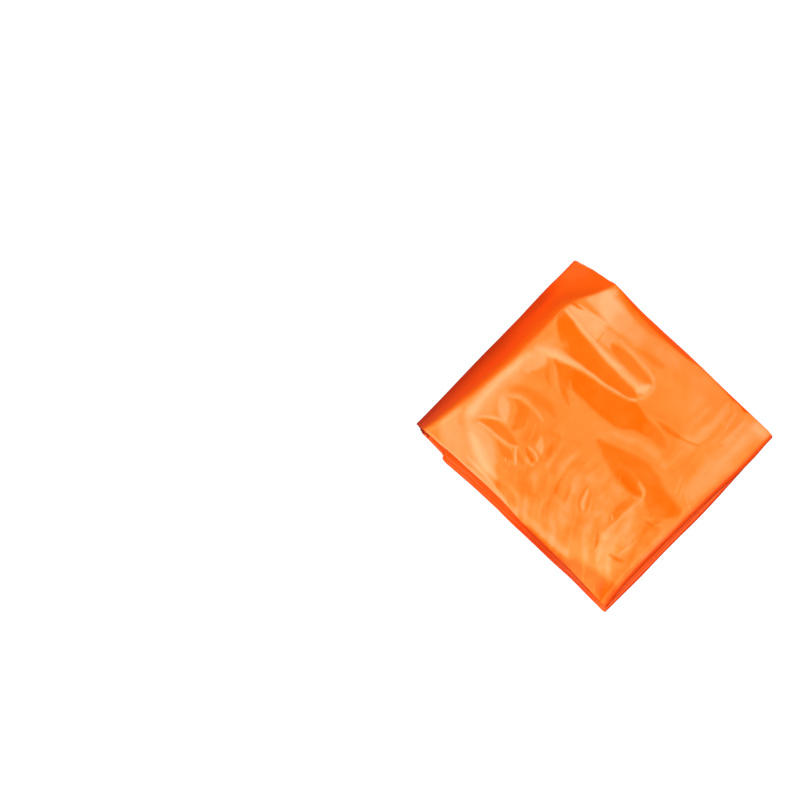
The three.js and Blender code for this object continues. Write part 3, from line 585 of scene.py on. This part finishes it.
def left_fold(section, low, steps):
    """The last fold, for one film: round the foot, up the slope and over the ridge."""
    high = TOP_FILM - low
    pitch = section["left"] / TOP_FILM
    slope = np.arctan2(section["left"] - SHEET, section["ridge"] - section["foot"])
    outside = (low * FLANK_PITCH - SHEET / 2) / np.sin(slope)
    foot_z, ridge_z = low * pitch, high * pitch
    foot_x = section["foot"] + (foot_z - SHEET / 2) / np.tan(slope) + outside
    ridge_x = foot_x + (ridge_z - foot_z) / np.tan(slope)
    foot_tangent, ridge_tangent = 1 / np.tan(slope / 2), np.tan(slope / 2)
    length = np.hypot(ridge_x - foot_x, ridge_z - foot_z)
    wanted = FOOT_RADIUS * (1 - FOOT_TIGHTER * low / (FILMS / 2))
    most = MOST_TURNING * length
    foot_radius = np.minimum(wanted, most / (foot_tangent + ridge_tangent))
    room = (most - foot_radius * foot_tangent) / ridge_tangent
    ridge_radius = np.maximum(np.minimum(section["roll"] + RIDGE_ROLL, room), LEAST_RADIUS)
    foot = arc(foot_x + foot_radius * foot_tangent, foot_z + foot_radius, foot_radius,
               -math.pi / 2, slope - math.pi, steps["foot"])
    ridge = arc(ridge_x + ridge_radius * ridge_tangent, ridge_z - ridge_radius, ridge_radius,
                math.pi / 2 + slope, -slope, steps["ridge"])
    between = np.linspace(0, 1, steps["flank"] + 1)[1:-1, None]
    flank = [blend(f[-1], r[0], between) for f, r in zip(foot, ridge)]
    x, z = (np.vstack([f, m, r]) for f, m, r in zip(foot, flank, ridge))
    share = np.clip((z - foot_z) / (ridge_z - foot_z), 0, 1)
    return stretch(x, z, low, high, share, share, 0.0)


def right_centre(section, film):
    """Where a film's half turn at the right side has its centre."""
    upper = film >= FILMS / 2
    edge = section["right_top"] if upper else section["right_low"]
    widest = ((LAYERS / 2 if upper else LOWER_TURN_LAYERS) * PLIES - 1) / 2
    return edge - widest * section["right"] / TOP_FILM


def stretch(x, z, low, high, share, group, top):
    """One fold or straight run: its places, the films it lies between and the edges it keeps to."""
    front, back = (blend(a, b, share) for a, b in zip(film_insets(low), film_insets(high)))
    film = blend(low, high, share)
    columns = {"x": x, "z": z, "film": film, "share": share, "group": group, "front": front,
               "back": back, "top": top, "high": high}
    return {name: values + 0 * x for name, values in columns.items()}


def half_turn(section, centre, low, high, steps):
    """A half turn at the right side, from a lower film up to a higher one."""
    pitch = section["right"] / TOP_FILM
    x, z = arc(centre, (low + high) / 2 * pitch, (high - low) / 2 * pitch, -math.pi / 2, math.pi,
               steps["right"])
    share = np.linspace(0, 1, steps["right"] + 1)[:, None]
    return stretch(x, z, low, high, share, float(low >= FILMS / 2), 0.0)


def right_end(section, film):
    """Where a film's straight run ends at the right."""
    layer = film // PLIES
    if layer not in FREE_LAYERS:
        return right_centre(section, film)
    turn = (PLIES - 1) / 2 * section["right"] / TOP_FILM
    first = layer == FREE_LAYERS[0]
    return section["right_low"] - FREE_END_STEP * (1 if first else 2) - turn * first


def left_end(section, film):
    """Where a film's straight run starts at the left."""
    fold = left_fold(section, min(film, TOP_FILM - film), PLAIN_STEPS)
    return fold["x"][-1 if film >= FILMS / 2 else 0]


def plain_shares(film):
    """Where a covered film's run is sampled, with the places of the notch in the front edge."""
    front = read_section(np.zeros(1))
    left, right = left_end(front, film)[0], right_end(front, film)[0]
    return np.sort([*PLAIN_SHARES, *((x - left) / (right - left) for x in NOTCH_X)])


def straight_run(section, film, shares):
    """A film's straight run from left to right."""
    x = blend(left_end(section, film), right_end(section, film), shares[:, None])
    return stretch(x, film_height(section, film, x), film, film, 0 * x, float(film >= FILMS / 2), 1.0)


def inner_rows(part):
    return {name: values[1:-1] for name, values in part.items()}


def reversed_rows(part):
    return {name: values[::-1] for name, values in part.items()}


def way_of(ply, across, detailed):
    """A ply's whole way from the third layer's free end, with rows along it and columns across it."""
    section = read_section(across)
    heading = FIRST_HEADING
    parts = []
    for layer, following in zip(ROUTE, [*ROUTE[1:], None]):
        film = film_in(layer, ply, heading)
        fine = detailed and layer == TOP_LAYER
        run = straight_run(section, film, FINE_SHARES if fine else plain_shares(film))
        parts.append({**(run if heading > 0 else reversed_rows(run)), "fine": fine})
        if following is None:
            break
        onward = film_in(following, ply, -heading)
        low, high = sorted((film, onward))
        fine = detailed and TOP_LAYER in (layer, following)
        steps = FINE_STEPS if fine else PLAIN_STEPS
        if heading < 0:
            fold = left_fold(section, low, steps)
        else:
            fold = half_turn(section, right_centre(section, low), low, high, steps)
        fold = inner_rows(fold if onward > film else reversed_rows(fold))
        parts.append({**fold, "fine": fine})
        heading = -heading
    fine = np.concatenate([np.full(len(part["x"]), part.pop("fine")) for part in parts])
    return {**joined(parts), "fine": fine}


def joined(parts):
    return {name: np.vstack([part[name] for part in parts]) for name in parts[0]}


def in_place(way, across):
    """Moves a ply's places to their part of the pack's width, in the part's frame and uneven."""
    x, film = way["x"], way["film"]
    front, back = ply_edges(way)
    y = blend(front, back, across)
    nearness = np.exp(-np.minimum(y - front, back - y) / EDGE_WAVE_REACH)
    middle = (way["top"] > 0) * smoothstep(np.minimum(x - x.min(), x.max() - x), *WAVES_FROM_ENDS)
    swell = blend(INNER_WAVE, EDGE_WAVE, nearness) * np.clip(film / WAVES_FULL_FROM, 0, 1)
    covered = (film > 1) * (film < TOP_FILM - 1) * way["top"]
    paired = PAIR_CLOSENESS * np.where(np.round(film) % 2 == 0, 1, -1) * covered
    sag = layered_noise(y, way["z"], SLOPE_WAVES, film) * np.sin(np.pi * way["share"])
    sheen_and_shade, rise = top_relief(x, y, film, way["top"], across)
    z = way["z"] + middle * swell * layered_noise(x, y, WAVES, film) + paired + rise
    points = np.stack([x + TABLE_SHIFT[0] + sag, y + TABLE_SHIFT[1], np.maximum(z, 0)], axis=-1)
    return {**way, "points": points, "sheen_and_shade": sheen_and_shade, "red_and_shade": redness_and_shade(way, across)}


def ply_edges(way):
    """Where a ply's front and back edges are at each of its places."""
    x, film, group = way["x"], way["film"], way["group"]
    edges = read_edges(np.clip(x, EDGES[0][0], EDGES[-1][0]))
    ragged = RAGGED_EDGE * soft_noise(x / RAGGED_LENGTH, film * RAGGED_CHANGE, seed=21)
    ragged = ragged * (film < TOP_FILM - 0.5)
    front = blend(edges["front_low"], edges["front_top"], group) + way["front"] + ragged
    back = blend(edges["back_low"], edges["back_top"], group) - way["back"] + ragged
    return front, back


def top_relief(x, y, film, top, across):
    """Tone of painted sheen and shade, and rise: only the films under the top ply's creases follow them,
    less and less.
    """
    follow = np.clip(1 - (TOP_FILM - film) * FOLLOW_LOSS, 0, 1)
    sheen_and_shade, rise = blend(*LOWER_TONES, 1 - top) + 0 * x, 0 * x
    chosen = follow > 0
    sheen_and_shade[chosen], rise[chosen] = top_fields(x[chosen], y[chosen])
    ridge = read_section(across)["ridge"]
    # the last fold's slope has a painted shade
    sheen_and_shade = blend(SLOPE_TONE, sheen_and_shade, smoothstep(x, ridge - SLOPE_TONE_REACH, ridge + SLOPE_TONE_REACH))
    inside = smoothstep(x, *RELIEF_FROM) * (1 - smoothstep(x, *RELIEF_TO))
    return sheen_and_shade, rise * follow * inside * smoothstep(np.minimum(across, 1 - across), *RELIEF_FROM_EDGE)


def two_falls(share, first_from, first_to, second_from, second_to):
    """1 below the first two places, half between them and the second two, and 0 above those."""
    return 1 - (smoothstep(share, first_from, first_to) + smoothstep(share, second_from, second_to)) / 2


def redness_and_shade(way, across):
    """How red the film is: partly the deeper red where many plies lie behind it, and partly painted shade
    at the slope, in the turns and on the films under the top one.
    """
    in_back, in_facet = smoothstep(across, *BACK_HALF), smoothstep(across, *FACET)
    *places, loss = (blend(blend(front, back, in_back), facet, in_facet)
                     for front, back, facet in (*RED_SHARES, RED_LOSSES))
    # painted shade on the last fold's slope and, below, in the turns at the right
    left = two_falls(way["share"], *places) * (1 - loss)
    right = two_falls(way["share"], *RIGHT_RED_SHARES)
    on_fold = (1 - way["top"]) * np.where(way["x"] < 0, left, right)
    # painted shade on the films under the top one, deeper between two places along the pack
    redder = smoothstep(way["x"], *REDDER_FROM) * (1 - smoothstep(way["x"], *REDDER_TO))
    lower = LOWER_RED + REDDER_SHADE * redder * way["top"]
    return np.where(way["high"] == TOP_FILM, on_fold, blend(lower, 1, on_fold))


# The tube's mesh

def lips(first, second, side):
    """Rounded edges between two plies: three places for each row, from the first ply to the second."""
    middle, reach = (first + second) / 2, (first - second) / 2
    out = np.array([0, side, 0]) * np.linalg.norm(reach, axis=1, keepdims=True)
    turns = [(math.cos(angle), math.sin(angle)) for angle in (math.pi / 4, math.pi / 2, 3 * math.pi / 4)]
    return np.stack([middle + c * reach + s * out for c, s in turns], axis=1)


def tube_rings(outer, inner, plain_columns):
    """One closed ring for each row: the outer ply, a lip, the inner ply backwards and the other lip."""
    back = lips(outer["points"][:, -1], inner["points"][:, -1], 1)
    front = lips(inner["points"][:, 0], outer["points"][:, 0], -1)
    rings = []
    for row, fine in enumerate(outer["fine"]):
        columns = slice(None) if fine else plain_columns
        points = [outer["points"][row, columns], back[row], inner["points"][row, ::-1], front[row]]
        ring = {"points": np.vstack(points), "outer": len(points[0])}
        at_lips = {name: outer[name][row, [-1, 0]] for name in ("film", "sheen_and_shade", "red_and_shade")}
        # the edges get a painted highlight: pale in the pack, and barely red at the top
        upper = smoothstep(at_lips["film"] / FILMS, *TOP_LIPS_FROM)
        lip_highlights = {"sheen_and_shade": blend(LIP_HIGHLIGHT, at_lips["sheen_and_shade"], upper),
                     "red_and_shade": blend(at_lips["red_and_shade"], TOP_LIP_RED, upper)}
        for name, values in lip_highlights.items():
            back_lip, front_lip = (np.full(3, value) for value in values)
            plies = outer[name][row, columns], inner[name][row, ::-1]
            ring[name] = np.concatenate([plies[0], back_lip, plies[1], front_lip])
        rings.append(ring)
    return rings


def strip(first, second):
    """Quads between two lines of as many vertices."""
    return np.stack([first[:-1], first[1:], second[1:], second[:-1]], axis=1).tolist()


def fan_strip(plain, fine, columns, plain_first):
    """Faces between a line of few vertices and one of many, where each span takes several of the many."""
    faces = []
    for i, (start, end) in enumerate(zip(columns[:-1], columns[1:])):
        face = [plain[i], plain[i + 1], *fine[start:end + 1][::-1]]
        faces.append(face if plain_first else face[::-1])
    return faces


def skin(rings, columns):
    """Vertices and faces of the tube along its rings, closed at the first ring and open at the last."""
    starts = np.cumsum([0, *(len(ring["points"]) for ring in rings)])
    numbers = [np.arange(a, b) for a, b in zip(starts[:-1], starts[1:])]
    faces = []
    for (a, na), (b, nb) in zip(zip(rings, numbers), zip(rings[1:], numbers[1:])):
        rest = [np.append(n[ring["outer"] - 1:], n[0]) for ring, n in ((a, na), (b, nb))]
        faces += strip(*rest)
        first, second = na[:a["outer"]], nb[:b["outer"]]
        if len(first) == len(second):
            faces += strip(first, second)
        elif len(first) < len(second):
            faces += fan_strip(first, second, columns, True)
        else:
            faces += fan_strip(second, first, columns, False)
    faces += end_cap(rings[0], numbers[0])
    names = ("points", "sheen_and_shade", "red_and_shade")
    return {name: np.concatenate([ring[name] for ring in rings]) for name in names}, faces


def end_cap(ring, numbers):
    """Faces that close the tube's end from ply to ply."""
    count = ring["outer"]
    outer, inner = numbers[:count], numbers[count + 3:2 * count + 3][::-1]
    across = strip(inner, outer)
    back = [outer[-1], *numbers[count:count + 3], inner[-1]]
    front = [inner[0], *numbers[2 * count + 3:], outer[0]]
    return across + [back[::-1], front[::-1]]


def fine_across():
    """Places across the pack for the top ply, closely spaced, that include all the plain ones."""
    width = EDGES[0][3] - EDGES[0][1]
    places = []
    for start, end in zip(PLAIN_ACROSS[:-1], PLAIN_ACROSS[1:]):
        steps = math.ceil((end - start) * width / FINE_STEP)
        places.extend(np.linspace(start, end, steps, endpoint=False))
    return np.array([*places, 1.0])


def bag_mesh():
    """The whole tube: one half of its length back to its middle, and the other half forth again."""
    fine, plain = fine_across(), np.array(PLAIN_ACROSS)
    columns = [int(np.argmin(abs(fine - place))) for place in plain]
    halves = []
    for outer_ply, inner_ply, detailed in ((0, 1, True), (3, 2, False)):
        outer = in_place(way_of(outer_ply, fine, detailed), fine)
        inner = in_place(way_of(inner_ply, plain, detailed), plain)
        halves.append(tube_rings(outer, inner, columns))
    first = PLIES * ROUTE[0]
    turn = []
    for across, low, high in ((fine, first, first + 3), (plain, first + 1, first + 2)):
        section = read_section(across)
        rows = inner_rows(half_turn(section, right_end(section, low), low, high, PLAIN_STEPS))
        rows["fine"] = np.zeros(len(rows["x"]), bool)
        turn.append(in_place(rows, across))
    rings = halves[0][::-1] + tube_rings(*turn, columns) + halves[1]
    return skin(rings, columns)


def new_object(name, data):
    thing = bpy.data.objects.new(name, data)
    bpy.context.scene.collection.objects.link(thing)
    return thing


def make_bag():
    """The folded film as one Blender object, in metres, with its tone of painted sheen and shade and its
    redness, partly painted shade, as attributes.
    """
    data, faces = bag_mesh()
    mesh = bpy.data.meshes.new("bag_film")
    mesh.from_pydata((data["points"] * MM).tolist(), [], faces)
    for name in ("sheen_and_shade", "red_and_shade"):
        values = mesh.attributes.new(name, "FLOAT", "POINT").data
        values.foreach_set("value", data[name].astype(np.float32))
    mesh.shade_smooth()
    mesh.materials.append(film_material())
    return new_object("bag_film", mesh)


# The film's material

# Colours of the film by tone, from the deep painted shade to the pale painted reflection of the light
TONES = [
    (0.0, (0.9, 0.06, 0.001, 1)),
    (0.3, (0.95, 0.125, 0.001, 1)),
    (0.45, (0.97, 0.17, 0.014, 1)),
    (0.6, (0.98, 0.22, 0.034, 1)),
    (0.8, (0.98, 0.315, 0.105, 1)),
    (1.0, (0.98, 0.42, 0.185, 1)),
]
# Reds over those, partly the red of many plies and partly painted shade, most in the darker one: the
# redness where each sets in and is full, and its colour
REDS = [(0.0, 0.5, (0.95, 0.064, 0.001, 1)), (0.5, 1.0, (0.56, 0.026, 0.001, 1))]
# What is the same all over the film; the tint is that of what it reflects face on
FILM = {"IOR": 1.36, "Specular Tint": (1.0, 0.7, 0.3, 1)}
MOTTLE = {"Scale": 90, "Detail": 3}
MOTTLE_TONE = 0.12  # how much the mottling changes the tone
ROUGHNESS = {"To Min": 0.15, "To Max": 0.24}
CRINKLE = {"Scale": 260, "Detail": 4, "Distortion": 0.6}
CRINKLE_BUMP = {"Strength": 0.25, "Distance": 0.4 * MM}


def add_node(tree, kind, inputs=None, **settings):
    """A shader node with its settings. Each input is a value, or the output that feeds it."""
    node = tree.nodes.new("ShaderNode" + kind)
    for name, value in settings.items():
        setattr(node, name, value)
    for name, value in (inputs or {}).items():
        if isinstance(value, bpy.types.NodeSocket):
            tree.links.new(value, node.inputs[name])
        else:
            node.inputs[name].default_value = value
    return node


def empty_tree(owner):
    """The node tree of a material or a world, without the nodes that it starts with."""
    owner.use_nodes = True
    owner.node_tree.nodes.clear()
    return owner.node_tree


def film_material():
    """Glossy film with painted light in its colour: deep painted shade, pale painted reflection, and red
    in folds, partly painted shade.
    """
    material = bpy.data.materials.new("film")
    tree = empty_tree(material)
    place = add_node(tree, "TexCoord").outputs["Object"]
    sheen_and_shade, red_and_shade = (add_node(tree, "Attribute", attribute_name=name).outputs["Fac"]
                 for name in ("sheen_and_shade", "red_and_shade"))
    mottle = add_node(tree, "TexNoise", MOTTLE | {"Vector": place}).outputs["Fac"]
    lowered = add_node(tree, "Math", {0: sheen_and_shade, 1: MOTTLE_TONE / 2}, operation="SUBTRACT").outputs[0]
    mottled = add_node(tree, "Math", {0: mottle, 1: MOTTLE_TONE, 2: lowered}, operation="MULTIPLY_ADD")
    ramp = add_node(tree, "ValToRGB", {0: mottled.outputs[0]})
    ramp.color_ramp.elements[0].color = TONES[0][1]
    ramp.color_ramp.elements[1].color = TONES[-1][1]
    for position, colour in TONES[1:-1]:
        ramp.color_ramp.elements.new(position).color = colour
    colour = ramp.outputs[0]
    for low, high, redder in REDS:
        share = add_node(tree, "MapRange", {"Value": red_and_shade, "From Min": low, "From Max": high}).outputs[0]
        mixed = {"Factor": share, "A": colour, "B": redder}
        colour = add_node(tree, "Mix", mixed, data_type="RGBA").outputs["Result"]
    gloss = add_node(tree, "MapRange", ROUGHNESS | {"Value": mottle}).outputs[0]
    crinkle = add_node(tree, "TexNoise", CRINKLE | {"Vector": place}).outputs["Fac"]
    bump = add_node(tree, "Bump", CRINKLE_BUMP | {"Height": crinkle}).outputs[0]
    looks = {"Base Color": colour, "Roughness": gloss, "Normal": bump}
    shader = add_node(tree, "BsdfPrincipled", FILM | looks).outputs[0]
    add_node(tree, "OutputMaterial", {0: shader})
    return material


# The camera: far off, with a long lens, at the photograph's angle and framing

VIEW_AZIMUTH = math.radians(44.2)
VIEW_ELEVATION = math.radians(78.5)
IMAGE_SIZE = (800, 801)
PIXELS_PER_MM = 2.04
ORIGIN_PIXEL = (590.9, 434.6)
CAMERA_DISTANCE = 1800.0
SENSOR = 36.0
FARTHEST_SEEN = 100.0  # in metres


def direction(azimuth, elevation):
    return Vector((math.sin(azimuth) * math.cos(elevation), -math.cos(azimuth) * math.cos(elevation),
                   math.sin(elevation)))


def make_camera():
    """The lens looks at the image's middle, so that the pack stands where it does in the photograph."""
    back = direction(VIEW_AZIMUTH, VIEW_ELEVATION)
    right = Vector((math.cos(VIEW_AZIMUTH), math.sin(VIEW_AZIMUTH), 0))
    up = back.cross(right)
    across = (IMAGE_SIZE[0] / 2 - ORIGIN_PIXEL[0]) / PIXELS_PER_MM
    upward = (ORIGIN_PIXEL[1] - IMAGE_SIZE[1] / 2) / PIXELS_PER_MM
    target = (right * across + up * upward) * MM
    data = bpy.data.cameras.new("camera")
    data.sensor_width = SENSOR
    data.lens = PIXELS_PER_MM * CAMERA_DISTANCE * SENSOR / max(IMAGE_SIZE)
    data.clip_end = FARTHEST_SEEN
    camera = new_object("camera", data)
    location = back * CAMERA_DISTANCE * MM
    axis_z = (location - target).normalized()
    axis_x = up.cross(axis_z).normalized()
    axis_y = axis_z.cross(axis_x)
    turned = Matrix((axis_x, axis_y, axis_z)).transposed().to_4x4()
    camera.matrix_world = Matrix.Translation(location) @ turned
    bpy.context.scene.camera = camera


# Floor, light and backdrop, in metres

FLOOR_HALF = 8.0
FLOOR_DROP = -0.0003
FLOOR_COLOUR = (0.08, 0.08, 0.08, 1)
SEEN_COLOUR = (0.25, 0.25, 0.25, 1)
SEEN_GLOW = 0.9
# Softboxes: name, azimuth and elevation as seen from the pack, distance, width, height, radiance
SOFTBOXES = [
    ("left_high", 264.0, 46.0, 1.6, 1.1, 0.8, 2.9),
    ("front", -15.0, 22.0, 1.8, 1.8, 1.0, 2.1),
    ("right", 80.0, 22.0, 1.8, 1.8, 1.0, 2.5),
    ("above", 44.0, 68.0, 2.0, 1.2, 1.2, 4.6),
    ("back", 170.0, 30.0, 1.8, 1.8, 1.0, 1.8),
    ("left", 275.0, 26.0, 1.8, 1.8, 1.0, 0.9),
]
WORLD_LIGHT = 0.25
WHITE = (1, 1, 1, 1)


def camera_switch(tree, others, seen):
    """What camera rays see, and what all other rays meet."""
    camera = add_node(tree, "LightPath").outputs["Is Camera Ray"]
    return add_node(tree, "MixShader", {0: camera, 1: others, 2: seen}).outputs[0]


def make_floor():
    """A plain floor: white to the camera, with faint shadows, and duller in the film's reflections."""
    mesh = bpy.data.meshes.new("floor")
    corners = [(-1, -1), (1, -1), (1, 1), (-1, 1)]
    places = [(x * FLOOR_HALF, y * FLOOR_HALF, FLOOR_DROP) for x, y in corners]
    mesh.from_pydata(places, [], [(0, 1, 2, 3)])
    material = bpy.data.materials.new("floor")
    tree = empty_tree(material)
    dull = add_node(tree, "BsdfDiffuse", {"Color": FLOOR_COLOUR}).outputs[0]
    shaded = add_node(tree, "BsdfDiffuse", {"Color": SEEN_COLOUR}).outputs[0]
    glow = add_node(tree, "Emission", {"Strength": SEEN_GLOW}).outputs[0]
    bright = add_node(tree, "AddShader", {0: shaded, 1: glow}).outputs[0]
    add_node(tree, "OutputMaterial", {0: camera_switch(tree, dull, bright)})
    mesh.materials.append(material)
    floor = new_object("floor", mesh)


def make_softbox(name, azimuth, elevation, distance, width, height, radiance):
    towards = direction(math.radians(azimuth), math.radians(elevation))
    data = bpy.data.lights.new(name, "AREA")
    data.shape = "RECTANGLE"
    data.size, data.size_y = width, height
    data.energy = radiance * math.pi * width * height
    light = new_object(name, data)
    light.location = towards * distance
    light.rotation_mode = "QUATERNION"
    light.rotation_quaternion = towards.to_track_quat("Z", "Y")


def make_world():
    """Dim light from all round. The camera itself sees a plain white backdrop."""
    world = bpy.data.worlds.new("world")
    tree = empty_tree(world)
    dim = add_node(tree, "Background", {"Color": WHITE, "Strength": WORLD_LIGHT}).outputs[0]
    seen = add_node(tree, "Background", {"Color": WHITE}).outputs[0]
    add_node(tree, "OutputWorld", {0: camera_switch(tree, dim, seen)})
    bpy.context.scene.world = world


def make_stage():
    make_floor()
    for softbox in SOFTBOXES:
        make_softbox(*softbox)
    make_world()
    bpy.context.scene.view_settings.view_transform = "Standard"


make_camera()
make_stage()
bag = make_bag()
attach(bag, "root")
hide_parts("folded_bag")
